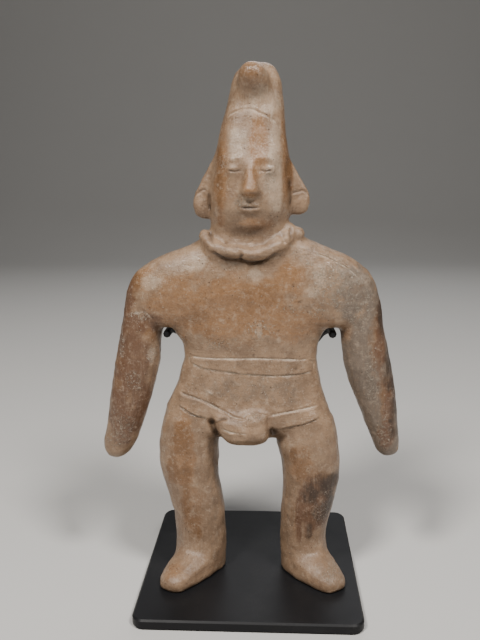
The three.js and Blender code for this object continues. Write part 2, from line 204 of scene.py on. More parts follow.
@dataclass(frozen=True)
class SoftLight:
    """One soft light.

    Attributes:
        name: its name.
        place: where it stands, in metres.
        size: its width, in metres.
        power: its power, in watts.
        colour: its colour, as linear light.
    """

    name: str
    place: Place
    size: float
    power: float
    colour: Colour


@dataclass(frozen=True)
class PaintFinish:
    """The stand's satin black paint, as linear light."""

    colour: Colour = (0.010, 0.010, 0.011)
    dust: Colour = (0.045, 0.043, 0.042)
    roughness: float = 0.42


class NodeTree:
    """Short calls for the nodes of one procedural material."""

    def __init__(self, name: str) -> None:
        """Starts a material with an empty tree and a surface shader.

        Args:
            name: the material's name.
        """
        self.material = bpy.data.materials.new(name)
        self.material.use_nodes = True
        self.tree = self.material.node_tree
        self.tree.nodes.clear()
        self.shader = self.add("ShaderNodeBsdfPrincipled")
        output = self.add("ShaderNodeOutputMaterial")
        self.tree.links.new(self.shader.outputs["BSDF"], output.inputs["Surface"])
        self.coordinates = self.add("ShaderNodeTexCoord").outputs["Object"]

    def add(self, kind: str, **settings: object) -> bpy.types.Node:
        """Adds a node and sets its properties.

        Args:
            kind: the node's type.
            **settings: properties to set on it.

        Returns:
            The new node.
        """
        node = self.tree.nodes.new(kind)
        for name, value in settings.items():
            setattr(node, name, value)
        return node

    def feed(self, target: Socket, value: object) -> None:
        """Links a socket to a target, or sets the target to a number or colour.

        Args:
            target: the input to feed.
            value: an output socket, a number or a colour.
        """
        if isinstance(value, Socket):
            self.tree.links.new(value, target)
        elif isinstance(value, tuple) and len(value) == 3 and target.type == "RGBA":
            target.default_value = (*value, 1.0)
        else:
            target.default_value = value

    def stretched(self, stretch: Place) -> Socket:
        """Returns the object's coordinates, drawn out by a factor along each axis.

        Args:
            stretch: how many times longer the pattern is along x, y and z.
        """
        mapping = self.add("ShaderNodeMapping")
        self.feed(mapping.inputs["Vector"], self.coordinates)
        mapping.inputs["Scale"].default_value = tuple(1.0 / s for s in stretch)
        return mapping.outputs["Vector"]

    def noise(
        self,
        size: float,
        detail: float = 3.0,
        roughness: float = 0.55,
        distortion: float = 0.0,
        stretch: Place = (1.0, 1.0, 1.0),
    ) -> Socket:
        """Adds a soft noise.

        Args:
            size: the size of its blotches in millimetres.
            detail: how many finer layers it has.
            roughness: how strong the finer layers are.
            distortion: how much it swirls.
            stretch: how many times longer it is along x, y and z.

        Returns:
            Its value, from 0 to 1.
        """
        node = self.add("ShaderNodeTexNoise")
        self.feed(node.inputs["Vector"], self.stretched(stretch))
        node.inputs["Scale"].default_value = 1.0 / (size * MILLIMETRE)
        node.inputs["Detail"].default_value = detail
        node.inputs["Roughness"].default_value = roughness
        node.inputs["Distortion"].default_value = distortion
        return node.outputs["Fac"]

    def cells(self, size: float) -> Socket:
        """Returns the distance to the nearest of many scattered points.

        Args:
            size: the spacing of the points in millimetres.
        """
        node = self.add("ShaderNodeTexVoronoi")
        self.feed(node.inputs["Vector"], self.coordinates)
        node.inputs["Scale"].default_value = 1.0 / (size * MILLIMETRE)
        return node.outputs["Distance"]

    def mask(self, mask: Mask) -> Socket:
        """Returns the value of one of the skin's point attributes."""
        return self.add("ShaderNodeAttribute", attribute_name=mask.value).outputs["Fac"]

    def sum(self, *values: object) -> Socket:
        """Returns the sum of some sockets and numbers."""
        return self._chain("ADD", values)

    def product(self, *values: object) -> Socket:
        """Returns the product of some sockets and numbers."""
        return self._chain("MULTIPLY", values)

    def _chain(self, operation: str, values: tuple[object, ...]) -> Socket:
        """Returns the values joined two by two with one operation.

        Args:
            operation: the operation's name.
            values: sockets and numbers.
        """
        total = values[0]
        for value in values[1:]:
            node = self.add("ShaderNodeMath", operation=operation)
            self.feed(node.inputs[0], total)
            self.feed(node.inputs[1], value)
            total = node.outputs[0]
        return total

    def between(self, value: object, low: float, high: float) -> Socket:
        """Returns 0 below low, 1 above high and a smooth step between them.

        Args:
            value: the socket to read.
            low: where the step starts. It may be above high, which turns the step round.
            high: where the step ends.
        """
        node = self.add("ShaderNodeMapRange", interpolation_type="SMOOTHSTEP")
        self.feed(node.inputs["Value"], value)
        flipped = low > high
        node.inputs["From Min"].default_value = min(low, high)
        node.inputs["From Max"].default_value = max(low, high)
        node.inputs["To Min"].default_value = 1.0 if flipped else 0.0
        node.inputs["To Max"].default_value = 0.0 if flipped else 1.0
        return node.outputs["Result"]

    def mix(self, amount: object, under: object, over: object) -> Socket:
        """Lays one colour over another.

        Args:
            amount: how much of the upper colour shows.
            under: the lower colour.
            over: the upper colour.

        Returns:
            The mixed colour.
        """
        node = self.add("ShaderNodeMix", data_type="RGBA")
        self.feed(node.inputs[0], amount)
        self.feed(node.inputs[6], under)
        self.feed(node.inputs[7], over)
        return node.outputs[2]

    def blend(self, amount: object, low: object, high: object) -> Socket:
        """Returns a number between two others.

        Args:
            amount: 0 gives the first, 1 the second.
            low: the first number or socket.
            high: the second number or socket.
        """
        node = self.add("ShaderNodeMix", data_type="FLOAT")
        self.feed(node.inputs[0], amount)
        self.feed(node.inputs[2], low)
        self.feed(node.inputs[3], high)
        return node.outputs[0]

    def relief(self, height: object, depth: float, under: object = None) -> Socket:
        """Adds a bump.

        Args:
            height: its height, from 0 to 1.
            depth: how deep it is in millimetres.
            under: the normal of a bump beneath it.

        Returns:
            The bumped normal.
        """
        node = self.add("ShaderNodeBump")
        self.feed(node.inputs["Height"], height)
        node.inputs["Distance"].default_value = depth * MILLIMETRE
        if under is not None:
            self.feed(node.inputs["Normal"], under)
        return node.outputs["Normal"]


class Skin:
    """A mesh's points as arrays, in hundredths of the figure's height."""

    def __init__(self, mesh: bpy.types.Mesh, origin: Vector, hundredth: float) -> None:
        """Reads the points and edges.

        Args:
            mesh: the mesh to work on.
            origin: the figure's own origin, in metres.
            hundredth: a hundredth of the figure's height, in metres.
        """
        self.mesh = mesh
        self.origin = np.array(origin)
        self.hundredth = hundredth
        count = len(mesh.vertices)
        points = np.empty(count * 3)
        mesh.vertices.foreach_get("co", points)
        self.points = (points.reshape(-1, 3) - self.origin) / hundredth
        ends = np.empty(len(mesh.edges) * 2, dtype=np.int64)
        mesh.edges.foreach_get("vertices", ends)
        self.starts, self.stops = ends[0::2], ends[1::2]
        self.valence = self._gathered(np.ones(count))

    def _gathered(self, values: Values) -> Values:
        """Returns, for each point, the sum of a value over its neighbours."""
        count = len(self.mesh.vertices)
        return np.bincount(self.starts, values[self.stops], count) + np.bincount(
            self.stops, values[self.starts], count
        )

    def averaged(self, values: Values) -> Values:
        """Returns, for each point, the mean of a value over its neighbours."""
        return self._gathered(values) / np.maximum(self.valence, 1)

    def drift(self) -> Values:
        """Returns the way from each point to the middle of its neighbours."""
        middles = np.stack([self.averaged(self.points[:, axis]) for axis in range(3)], axis=1)
        return middles - self.points

    def normals(self) -> Values:
        """Returns the outward normal at each point."""
        self.write()
        values = np.empty(len(self.mesh.vertices) * 3)
        self.mesh.vertex_normals.foreach_get("vector", values)
        return values.reshape(-1, 3)

    def write(self) -> None:
        """Puts the points back into the mesh."""
        metres = self.points * self.hundredth + self.origin
        self.mesh.vertices.foreach_set("co", metres.ravel())
        self.mesh.update()

    def smooth(self, rounds: int, weight: Values | float = 1.0) -> None:
        """Evens out facets without shrinking the form.

        Args:
            rounds: how many times the points move in and out again.
            weight: how much each point takes part, from 0 to 1.
        """
        share = np.broadcast_to(np.asarray(weight, dtype=float), (len(self.points),))[:, None]
        inward, outward = 0.50, 0.53
        for _ in range(rounds):
            self.points += inward * share * self.drift()
            self.points -= outward * share * self.drift()

    def settle(self, rounds: int, weight: Values) -> None:
        """Draws each point towards the middle of its neighbours.

        Args:
            rounds: how many times the points move.
            weight: how much each point takes part, from 0 to 1.
        """
        for _ in range(rounds):
            self.points += 0.5 * weight[:, None] * self.drift()

    def fill_creases(self, rounds: int, weight: Values) -> None:
        """Fills concave seams, as clay smeared over a joint does.

        Args:
            rounds: how many thin layers are added.
            weight: how much each point takes part, from 0 to 1.
        """
        thickness = 0.6
        layers_per_reading = 6
        for layer in range(rounds):
            if layer % layers_per_reading == 0:
                normals = self.normals()
            outward = np.einsum("ij,ij->i", self.drift(), normals)
            self.points += (thickness * weight * np.maximum(outward, 0.0))[:, None] * normals

    def push(self, distance: Values, directions: Values) -> None:
        """Moves each point along its direction by a distance."""
        self.points += distance[:, None] * directions

    def weight_of(self, spots: tuple[Spot, ...], ragged: Values | float = 0.0) -> Values:
        """Returns how much each point lies inside any of some spots, from 0 to 1.

        Args:
            spots: the spots.
            ragged: a noise that frays their edges.
        """
        core, rim = 0.35, 1.15
        outside = np.ones(len(self.points))
        for spot in spots:
            away = (self.points - np.array(spot.middle)) / np.array(spot.reach)
            radius = np.linalg.norm(away, axis=1) + ragged
            outside *= 1.0 - spot.strength * (1.0 - smooth_step(radius, core, rim))
        return 1.0 - outside

    def hollowness(self, spread: int) -> Values:
        """Returns how far each point lies in a hollow, in hundredths.

        Args:
            spread: how many rings of neighbours the value is averaged over.
        """
        value = np.einsum("ij,ij->i", self.drift(), self.normals())
        for _ in range(spread):
            value = self.averaged(value)
        return value

    def keep(self, mask: Mask, values: Values) -> None:
        """Stores a value at each point, from 0 to 1, for the material to read."""
        attribute = self.mesh.attributes.new(mask.value, "FLOAT", "POINT")
        attribute.data.foreach_set("value", np.clip(values, 0.0, 1.0))


def smooth_route(places: tuple[Point, ...], spacing: float = 0.12) -> Values:
    """Draws a smooth curve through some places.

    Args:
        places: the places that it runs through.
        spacing: the distance between its points.

    Returns:
        Its points, two numbers each.
    """
    knots = np.array(places)
    padded = np.vstack([2 * knots[0] - knots[1], knots, 2 * knots[-1] - knots[-2]])
    route = []
    for i in range(1, len(padded) - 2):
        before, start, end, after = padded[i - 1 : i + 3]
        steps = max(2, int(np.linalg.norm(end - start) / spacing))
        for t in np.linspace(0.0, 1.0, steps, endpoint=False):
            place = 2 * start + (end - before) * t
            place = place + (2 * before - 5 * start + 4 * end - after) * t**2
            place = place + (3 * start - before - 3 * end + after) * t**3
            route.append(0.5 * place)
    route.append(knots[-1])
    return np.array(route)


def smooth_step(value: Values, low: float, high: float) -> Values:
    """Returns 0 below low, 1 above high and a smooth step between them."""
    t = np.clip((value - low) / (high - low), 0.0, 1.0)
    return t * t * (3.0 - 2.0 * t)


def noise_at(points: Values, size: float, seed: float, octaves: int = 2) -> Values:
    """Samples a soft noise at some points.

    Args:
        points: the points.
        size: the size of the noise's blotches, in the points' units.
        seed: moves the noise, so that two calls differ.
        octaves: how many layers it has.

    Returns:
        One value for each point, from about -1 to 1.
    """
    shift = Vector((seed * 7.3, seed * 3.1, seed * 5.7))
    return np.array(
        [noise.fractal(Vector(p) / size + shift, 0.6, 2.0, octaves) for p in points]
    )


STAINS: dict[Mask, tuple[Spot, ...]] = {
    Mask.BURNISHED: (
        Spot((-1.5, -6, 55.5), (15, 7, 8)), Spot((7.8, -5, 61.6), (3.8, 4, 3.4), 0.95),
        Spot((-13.5, -5, 56), (8, 6, 7), 0.9), Spot((10, -5, 53), (8, 6, 5), 0.7),
        Spot((-20.5, -5, 61.5), (3.5, 6, 3), 0.8), Spot((2.2, -6, 85), (2.2, 4, 7.5), 0.9),
        # The stripes down both sides of the face: brown clay, darkened as painted shade where the front
        # turns to the sides.
        Spot((-4.6, -4, 80), (2, 5, 11), 0.9), Spot((7, -2, 83.5), (1.7, 5, 13), 0.95),
        Spot((0.55, -9, 79), (1.8, 4, 5), 0.8), Spot((1.5, -6, 71.5), (4.5, 4, 1.8), 0.7),
        front(0.7, 97.5, 2.8, 3, 0.9), front(-12.6, 26, 2.8, 10), front(-11.2, 14, 2.8, 9, 0.85),
        front(10.4, 24.5, 3.2, 6, 0.9), front(9, 13, 1.6, 7, 0.6), Spot((-1.5, -8, 40), (3, 4, 3), 0.4),
        Spot((-15, -8, 3), (4, 4, 3), 0.5), Spot((0, 6, 60), (22, 6, 16), 0.6),
        Spot((0.5, 6, 84), (7, 6, 16), 0.6),
    ),
    Mask.UMBER: (
        front(-13.2, 29.5, 2.8, 4.2, 0.85), front(-15, 23.5, 1.6, 5, 0.95),
        front(-12.4, 22.5, 1.5, 5, 0.7), front(-12.6, 15.5, 1.6, 5.5, 0.75),
        front(-10.6, 11, 1.2, 4.5, 0.6), front(8.6, 26.6, 0.8, 2.6, 0.9), front(10, 23.6, 1.6, 3, 0.6),
        front(12.6, 14.6, 3.2, 4.2, 0.95), front(9.8, 13, 0.8, 6, 0.9), front(14.6, 21, 3.8, 2.6, 0.9),
        # The stripes down both sides of the face: brown clay, darkened as painted shade where the front
        # turns to the sides.
        Spot((-5, -4, 80.5), (1, 5, 10.5), 0.75), Spot((7.4, -2, 83.5), (1.1, 5, 12.5), 0.8),
        Spot((0.8, -7, 97.6), (2.6, 4, 2.6), 0.4), Spot((3, -6, 71.2), (3.2, 4, 1.6), 0.5),
        front(-9.4, 53.5, 5, 5, 0.45), Spot((2.6, -6, 58), (6, 5, 3.5), 0.45),
        Spot((-19, -3, 51.5), (2.4, 5, 4), 0.8), Spot((-22.5, -3, 60), (2.4, 6, 5), 0.8),
        Spot((18.3, -3, 51), (1.8, 5, 3), 0.6), Spot((24.4, -1, 49), (2.2, 6, 9), 0.85),
        Spot((26.6, -1, 36), (2.6, 6, 9), 0.9), Spot((-24.6, -2, 42), (3.4, 6, 14), 0.8),
        Spot((-21.5, -3, 38), (2.4, 5, 8), 0.7),
    ),
    Mask.PALE_AND_HIGHLIGHT: (
        # Painted highlight: the gloss on the left shoulder; the patch beside it is pale clay with some
        # painted highlight.
        Spot((-18.1, -4, 60.4), (2.8, 5, 2.2), 0.95), Spot((-13, -5, 63.2), (4, 6, 2.4), 0.5),
        front(-9.6, 64.6, 3.4, 2.2, 0.7), Spot((-2.4, -5, 63.9), (5, 4, 1.2), 0.6),
        Spot((1.4, -5, 62.4), (2, 4, 2.8), 0.85), Spot((14.5, -5, 61.5), (7, 6, 6), 0.45),
        Spot((13.3, -5, 62), (1.4, 4, 2.4), 0.8), Spot((11.7, -5, 58.7), (1.8, 4, 1.1), 0.75),
        # Painted highlight on the right shoulder; the spot beside it is pale clay.
        Spot((21.6, -3, 60.6), (2.2, 5, 1.6), 0.5), Spot((2.1, -5, 51.3), (0.8, 4, 2.6), 0.8),
        Spot((5.7, -5, 49.6), (0.6, 4, 0.9), 0.9), Spot((-5.1, -5, 53.5), (1, 4, 0.5), 0.8),
        # Painted highlight: the bright band down the right of the forehead; the spot beside it is pale
        # clay.
        Spot((-2, -6, 86), (2.4, 5, 5), 0.75), front(5, 82, 1.7, 15, 0.9),
        Spot((3, -3, 93), (6, 6, 4), 0.7), Spot((3.6, -7, 79), (2.6, 4, 4), 0.6),
        Spot((-0.2, -8, 75.4), (3, 4, 1.6), 0.6), Spot((-4.8, -6, 78), (1.8, 5, 4), 0.3),
        Spot((-26.2, -2, 29.4), (2.6, 5, 3.4), 0.35), Spot((-18.7, -3, 46.2), (1.3, 4, 2.2), 0.8),
        Spot((17, -6, 3), (4, 6, 5), 0.3), Spot((-13, -5, 7), (4, 6, 4), 0.4),
        Spot((-17.5, -8, 2.5), (2, 4, 2.5), 0.5), Spot((-8.2, -5, 39), (2.6, 4, 1), 0.5),
        Spot((0, -6, 46.5), (12, 5, 0.8), 0.2),
    ),
    Mask.REDDENED: (
        Spot((-22.6, 0, 44), (5, 8, 15), 0.8), Spot((-25, -1, 33), (4, 7, 9), 0.65),
        Spot((-23.8, 0, 58), (3, 8, 7), 0.6), Spot((-18, -3, 53), (2.6, 5, 3), 0.45),
        Spot((24.8, -1, 48), (1.8, 6, 10), 0.75), Spot((27, -1, 34), (2, 6, 10), 0.85),
        Spot((13.4, -4, 17), (4.2, 6, 5.6), 0.95), Spot((12.4, -4, 13.4), (3, 5, 4.4), 0.9),
        front(9.9, 13, 0.8, 6.5, 0.8),
    ),
    Mask.ASHEN: (
        Spot((22, 0, 46), (6.5, 8, 24)), Spot((25, 0, 36), (7.5, 9, 22)),
        Spot((26.5, 0, 30), (4.5, 8, 12), 0.9), Spot((19, -3, 58.5), (5.5, 6, 5.5), 0.75),
        Spot((24, -1, 54), (2.6, 6, 6), 0.8), Spot((-24.5, 0, 34), (3, 8, 12), 0.45),
        Spot((1, -5, 40), (14, 6, 4.5), 0.45), Spot((8, -5, 12), (2.5, 6, 12), 0.35),
        Spot((16, -6, 3), (5, 7, 5), 0.35), Spot((-7, -3, 14), (2, 6, 14), 0.4),
        Spot((-1, 6, 30), (16, 6, 10), 0.4),
    ),
    Mask.SOOT: (
        Spot((25, 0, 53), (2.2, 6, 6), 0.80), Spot((26.8, 0, 43.5), (2, 6, 8), 0.82),
        Spot((28, 0, 34), (2, 6, 7), 0.82), Spot((27.4, -3, 32.9), (0.8, 4, 1), 0.95),
        Spot((15, -4, 21.2), (4.2, 5, 2.8), 0.60), Spot((17.2, -2, 20.8), (2.6, 6, 3.8), 0.62),
        front(11.9, 18.2, 2.4, 3, 0.66), Spot((14.6, -4, 18.8), (3.2, 5, 3.2), 0.5),
        Spot((16, -3, 16.2), (2, 6, 3.4), 0.90), Spot((13.8, -4, 14.4), (2.4, 5, 3.4), 0.66),
        front(12, 10.4, 1, 2.6, 0.70), Spot((-5.5, 5, 82), (5, 4, 9), 0.4),
    ),
    Mask.DEPOSIT: (
        Spot((16.5, -5, 60.5), (6.5, 6, 7), 0.8), front(12.7, 55.3, 2.6, 2, 1),
        Spot((7.8, -5, 55.7), (2, 4, 1.8), 0.9), Spot((21, -4, 55), (3.5, 6, 5), 0.9),
        Spot((2, -6, 51.5), (5, 5, 3.5), 0.7), Spot((-6, -5, 48.9), (3.6, 4, 1.6), 0.85),
        Spot((12, -4, 66), (5, 5, 3), 0.6), Spot((-21, -3, 54), (3, 5, 1.4), 0.85),
        Spot((-24.8, -3, 47.9), (0.9, 5, 4), 0.9), Spot((-18.7, -3, 46.2), (1.6, 5, 2.6), 0.9),
        Spot((-22.4, -3, 40.4), (2.2, 5, 3.4), 0.9), Spot((-25.8, -3, 30.5), (3.4, 5, 6), 1),
        Spot((23.6, -3, 42), (2, 5, 9), 0.95), Spot((26.2, -3, 31), (2.2, 5, 7), 0.9),
        Spot((28.2, -1, 38.3), (0.7, 5, 1.6), 0.9), Spot((28.6, -1, 35), (0.7, 5, 1.4), 0.9),
        Spot((14.2, -4, 14.6), (2.6, 5, 4), 0.8), Spot((15.7, -3, 18.5), (2.4, 5, 0.8), 1),
        Spot((16.6, -2, 23.4), (1.6, 5, 2), 0.8), Spot((16.5, -7, 2.6), (3.4, 5, 2.4), 0.7),
        Spot((1.5, -7, 35), (2.6, 4, 1.4), 0.7), Spot((-5, -6, 82.5), (2.5, 4, 2.5), 0.7),
        Spot((4, -7, 79), (2.2, 4, 3), 0.6), Spot((-0.5, -8, 75.2), (3, 4, 1.4), 0.9),
    ),
    # Painted shade under the coil, under the chin, in the crevices beside the pouch and in the armpits;
    # the smallest spots are dark pits in the clay.
    Mask.PITS_AND_SHADE: (
        Spot((0, -5, 63.9), (7.5, 3, 1.3), 0.3), Spot((0.5, -4, 69.9), (6.5, 4, 1.7), 0.40),
        Spot((-7, -3, 33.4), (0.9, 5, 1.3), 0.85), Spot((-6.4, -3, 31.4), (1.1, 5, 1.8), 0.95),
        Spot((-6.2, -2, 29.2), (2, 6, 1.8), 0.75), Spot((4.8, -3, 31.4), (1.3, 5, 1.4), 0.95),
        Spot((5.4, -2, 29.6), (1.8, 6, 1.8), 0.6), Spot((1, -5, 46.75), (0.35, 3, 0.35), 0.9),
        Spot((-2, -5, 45.1), (0.40, 3, 0.32), 0.9), Spot((9, -4, 43.9), (0.35, 3, 0.35), 0.8),
        Spot((8.2, -5, 60.2), (0.28, 3, 0.45), 0.9), Spot((9.5, -5, 57.1), (0.45, 3, 0.28), 0.9),
        Spot((5.6, -5, 51.5), (0.32, 3, 0.32), 0.8), Spot((-16.6, 0, 50.6), (2.4, 6, 2.4), 0.5),
        Spot((17, 0, 50.6), (2.4, 6, 2.4), 0.5),
    ),
    # Painted shade on the legs, where less light reaches low down, and on the neck under the chin; the
    # remaining spots are dull clay.
    Mask.DULL_AND_SHADE: (
        Spot((-11.5, 0, 12), (7, 12, 14), 0.9), Spot((12, 0, 13), (7, 12, 15), 0.9),
        Spot((-12, 0, 29), (7, 12, 8), 0.5), Spot((11.5, 0, 29), (7, 12, 8), 0.5),
        Spot((16, -6, 3), (6, 8, 5), 0.9), Spot((0.4, -4, 69.6), (6.5, 5, 2), 0.95),
        Spot((10.5, -3, 40), (4, 5, 3.5), 0.6), Spot((-22.5, -1, 53), (4.5, 7, 8), 0.8),
        Spot((0.8, -6, 97), (3.4, 4, 3.4), 0.7),
    ),
    Mask.LIMBS: (
        Spot((-23.5, 0, 38), (8, 12, 22)), Spot((24.5, 0, 38), (8, 12, 22)),
        Spot((-11.5, 0, 14), (8, 12, 20)), Spot((12, 0, 14), (8, 12, 20)),
        Spot((0.8, 0, 88), (9, 12, 18)),
    ),
}


@dataclass
class Figurine:
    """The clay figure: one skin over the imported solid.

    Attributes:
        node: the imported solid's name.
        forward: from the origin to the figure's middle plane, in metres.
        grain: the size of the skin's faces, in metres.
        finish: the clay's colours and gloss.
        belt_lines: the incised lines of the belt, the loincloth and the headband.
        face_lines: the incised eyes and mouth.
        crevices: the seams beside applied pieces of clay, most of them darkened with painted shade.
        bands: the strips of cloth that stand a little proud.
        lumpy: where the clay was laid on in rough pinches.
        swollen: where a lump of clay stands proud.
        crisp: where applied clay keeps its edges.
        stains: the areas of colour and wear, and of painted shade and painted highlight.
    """

    node: str = "figurine"
    forward: float = 0.005
    grain: float = 0.00092
    finish: ClayFinish = ClayFinish()
    belt_lines: tuple[Line, ...] = (
        Line(
            ((-11.1, 45.9), (-7.8, 45.9), (-4.5, 45.9), (0.7, 46), (6, 45.8), (11.3, 45.4)),
            half_width=0.17, depth=0.20, bared=0.9, lip=0.05,
        ),
        Line(
            ((-11.2, 44.6), (-8.9, 43.8), (-4.5, 43.3), (0.7, 42.8), (7, 42.5), (12.2, 42.9)),
            half_width=0.17, depth=0.20, bared=0.8, lip=0.05,
        ),
        Line(((-11, 46), (-11.7, 45.3), (-11.2, 44.5)), depth=0.16, bared=0.6, lip=0.05),
        Line(((11.2, 45.5), (12.4, 44.4), (12.2, 42.8)), depth=0.12, bared=0.3, lip=0.05),
        Line(((-13.5, 38.7), (-8.9, 37.6), (-4.6, 35.7), (-2.6, 34.9), (-0.7, 34.6)), bared=0.6),
        Line(((4.1, 34.9), (6.4, 35.35), (8.8, 35.7), (13.4, 36.3)), depth=0.20, bared=0.7),
        Line(((-13.5, 36.1), (-12, 35.3), (-10.5, 34.6), (-7.8, 34)), depth=0.22, bared=0.8),
        Line(((5.6, 32), (9.9, 32.9), (13.4, 34.1)), half_width=0.15, depth=0.14, bared=0.5),
        Line(((-5.4, 32.9), (-4.2, 32.5), (-3.1, 32.2), (-0.1, 32)), depth=0.12, bared=0.8),
        Line(
            ((-4.1, 89.7), (-3.1, 90.6), (-1.2, 91.4), (0.7, 91.5), (2.1, 90.9), (4, 90)),
            depth=0.16, bared=0.5, lip=0.04,
        ),
        Line(((3.8, 90.1), (5.1, 89.2), (6.2, 87.7)), depth=0.08, bared=0.4, lip=0.04),
        Line(
            ((-22.4, 54.2), (-19.9, 54.7), (-18.3, 53.2)),
            half_width=0.3, depth=0.06, bared=0.6, lip=0.0,
        ),
    )
    face_lines: tuple[Line, ...] = (
        seam((-3.6, 80.95), (-2.25, 80.7), (-0.9, 80.95), half_width=0.20, depth=0.3),
        seam((2, 80.95), (3.35, 80.7), (4.7, 80.95), half_width=0.20, depth=0.3),
        seam((-1.4, 74.5), (0.55, 74.3), (2.5, 74.5), half_width=0.24, depth=0.4),
    )
    crevices: tuple[Line, ...] = (
        seam(
            (-6.6, 66.4), (-4.4, 65.2), (-1.6, 64.75), (0.4, 64.4), (1.9, 64.4), (3.3, 64.8), (5.6, 66.2),
            half_width=0.24, depth=0.6,
        ),
        seam((-1.7, 64.3), (-1.3, 65.2), (-0.9, 66.2), half_width=0.34, depth=0.45),
        slit((-7.2, 70), (-6.9, 68.9), (-6.3, 67.6), half_width=0.34, depth=0.8),
        slit((8, 70.8), (7.8, 69.5), (8.2, 68.3), half_width=0.34, depth=0.8),
        slit((-7.1, 77), (-7.2, 75.4), (-7, 73.4), half_width=0.34, depth=0.7),
        slit((7.6, 79.4), (7.6, 77.7), (7.8, 76.1), (7.6, 74.2), half_width=0.34, depth=0.45),
        Line(((7.9, 76.7), (9.2, 77), (10.2, 77.2), (11.3, 76.2)), depth=0.22, bared=0.1),
        Line(((-10.4, 76), (-9, 77.1), (-8.2, 77.5), (-7.4, 76.9)), depth=0.16, bared=0.1),
        slit((-7.3, 34.1), (-7, 32.8), (-6.5, 31.2), (-6, 29.6), half_width=0.6, depth=1.6),
        slit((3.9, 32.5), (4.5, 31.4), (4.8, 30.2), half_width=0.55, depth=1.1),
        Line(((3.8, 35), (3.8, 34), (3.9, 32.7)), depth=0.12, bared=0.1, lip=0.0),
        seam((-0.8, 34.5), (-0.7, 35.1), (-0.2, 35.4), half_width=0.20, depth=0.20),
        Line(((-0.3, 35.4), (0.6, 35.6), (1.9, 35.6), (3.8, 35.1)), depth=0.24, bared=0.1, lip=0.06),
        seam((5.8, 69.6), (6.5, 68.7), (7.2, 67.6), half_width=0.4, depth=0.5, bared=0.1),
        Line(
            ((12.4, 65.8), (14.4, 65.1), (16.4, 64.1), (18.4, 63), (20.4, 61.3)),
            half_width=0.14, depth=0.16, bared=0.8,
        ),
        seam((-6.7, 33.4), (-5.3, 34.5), (-3.6, 34.8), half_width=0.22, depth=0.2),
        Line(((-9.3, 39.9), (-8, 39.5), (-6.6, 38.8)), half_width=0.3, depth=-0.14, bared=0.6, lip=0.0),
        Line(((3.8, 38.9), (3.2, 37.6), (2.4, 36.2)), half_width=0.12, depth=0.10, bared=0.4, lip=0.0),
    )
    bands: tuple[Band, ...] = (
        Band(
            ((-13.5, 38.7), (-8.9, 37.6), (-4.6, 35.7), (-3.4, 35.2)),
            ((-13.5, 36.1), (-12, 35.3), (-10.5, 34.6), (-7.8, 34), (-3.4, 33.5)), 0.28,
        ),
        Band(((3.8, 34.9), (8.8, 35.7), (13.4, 36.3)), ((3.8, 31.7), (9.9, 32.9), (13.4, 34.1)), 0.26),
        Band(
            ((-11.2, 45.9), (0.7, 46), (11.6, 45.4)),
            ((-11.2, 44.6), (-8.9, 43.8), (-4.5, 43.3), (0.7, 42.8), (11.6, 42.7)), 0.12,
        ),
    )
    lumpy: tuple[Spot, ...] = (
        Spot((0, -5.2, 66.8), (9.5, 4.5, 2.8)),
        Spot((1.4, -7.5, 34.6), (3.4, 3, 2)),
        Spot((-1, -7.5, 31.5), (6, 4, 3), 0.5),
    )
    swollen: tuple[Spot, ...] = (
        Spot((1.5, -6.8, 34.8), (2.9, 4, 1.5)),
        Spot((-4.2, -7, 33.4), (2, 3, 1.2), 0.4),
    )
    crisp: tuple[Spot, ...] = (
        Spot((0, -6.2, 66), (12, 4.4, 2.6), 0.97), Spot((-7.6, -3.6, 68.2), (2.6, 4, 3), 0.9),
        Spot((8.2, -3, 69.2), (3, 4, 3), 0.9), Spot((-9.4, 0, 76), (4.2, 4, 8.5), 0.9),
        Spot((10.4, 0, 76.4), (4.2, 4, 8.5), 0.9), Spot((-0.9, -7, 32.2), (8.5, 5, 4.6), 0.95),
        Spot((0.55, -8.5, 77), (6.4, 4.5, 9.5), 0.85), Spot((0.9, -4.5, 97), (5.5, 5, 4.5), 0.7),
    )
    stains: dict[Mask, tuple[Spot, ...]] = field(default_factory=lambda: STAINS)

    def build(self, frame: dict) -> bpy.types.Object:
        """Casts, softens, incises and dresses the figure.


        Returns:
            The finished piece.
        """
        mesh = self._cast(frame["nodes"][self.node])
        skin = self._skin(mesh)
        self._soften(skin)
        skin.write()
        self._refine(mesh)
        skin = self._skin(mesh)
        skin.smooth(1)
        self._shape_by_hand(skin)
        bared, dark = self._incise(skin)
        skin.write()
        self._stain(skin, bared, dark)
        mesh.materials.clear()
        mesh.materials.append(self._clay())
        piece = bpy.data.objects.new("clay_figure", mesh)
        bpy.context.collection.objects.link(piece)
        mesh.shade_smooth()
        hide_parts(self.node)
        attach(piece, "root")
        triangles = sum(len(face.vertices) - 2 for face in mesh.polygons)
        LOG.info("clay_figure: %d triangles", triangles)
        return piece

    def _skin(self, mesh: bpy.types.Mesh) -> Skin:
        """Returns the mesh's points in the figure's hundredths."""
        low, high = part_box(self.node)
        origin = Vector((0.0, -self.forward, low[2]))
        return Skin(mesh, origin, (high[2] - low[2]) / 100.0)

    def _lines(self) -> tuple[Line, ...]:
        """Returns every line, in the order in which it is cut."""
        return (*self.belt_lines, *self.face_lines, *self.crevices)

    def _cast(self, solid: bpy.types.Object) -> bpy.types.Mesh:
        """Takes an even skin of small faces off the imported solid.

        Args:
            solid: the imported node's object.

        Returns:
            The skin as a new mesh.
        """
        blank = bpy.data.objects.new("clay_blank", solid.data.copy())
        bpy.context.collection.objects.link(blank)
        remesh = blank.modifiers.new("grain", "REMESH")
        remesh.mode = "VOXEL"
        remesh.voxel_size = self.grain
        graph = bpy.context.evaluated_depsgraph_get()
        mesh = bpy.data.meshes.new_from_object(blank.evaluated_get(graph))
        mesh.name = "clay_figure"
        bpy.data.objects.remove(blank)
        return mesh

